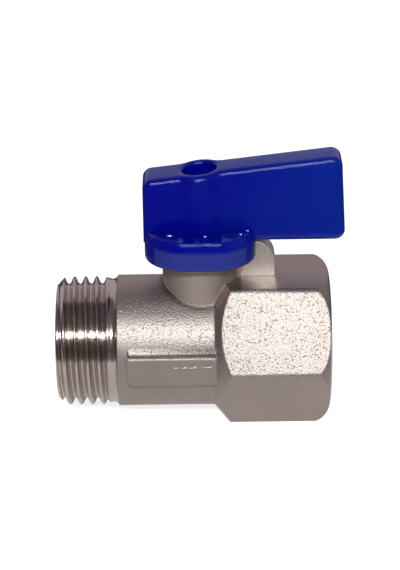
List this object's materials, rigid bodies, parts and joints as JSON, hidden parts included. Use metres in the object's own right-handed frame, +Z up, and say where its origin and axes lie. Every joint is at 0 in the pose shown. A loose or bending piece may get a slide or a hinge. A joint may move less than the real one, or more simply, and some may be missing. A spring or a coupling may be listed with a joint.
{
  "type": "mini ball valve",
  "caption": "Small quarter-turn ball valve with a male pipe thread, a female hexagon end and a blue lever on top that turns a bored ball between plastic seats.",
  "frame": {"origin": "on the pipe axis at the inner end of the male thread", "axes": "+X along the pipe from the male to the female end, +Z up the stem, so the open lever points to +X"},
  "size_m": [0.0463, 0.0274, 0.0446],
  "materials": {
    "nickel_plate": "nickel plated, shot blasted on the forged faces and machined on thread and neck",
    "plain_brass": "machined",
    "ball_chrome": "hard chromed and polished",
    "seat_plastic": "smooth waxy white",
    "seal_rubber": "smooth black",
    "handle_blue": "glossy blue",
    "screw_steel": "zinc plated"
  },
  "bodies": {
    "body": {"valve_body": "nickel_plate", "retainer_ring": "plain_brass", "inlet_seat": "seat_plastic", "outlet_seat": "seat_plastic", "stem_thrust_washer": "seat_plastic"},
    "lever": {"handle": "handle_blue", "handle_screw": "screw_steel", "stem": "plain_brass", "ball": "ball_chrome", "lower_stem_seal": "seal_rubber", "upper_stem_seal": "seal_rubber"}
  },
  "joints": [
    {"name": "lever_turn", "type": "hinge", "parent": "body", "child": "lever", "pos_m": [0.0148, 0, 0], "axis": [0, 0, 1], "range_deg": [-90, 0]}
  ]
}
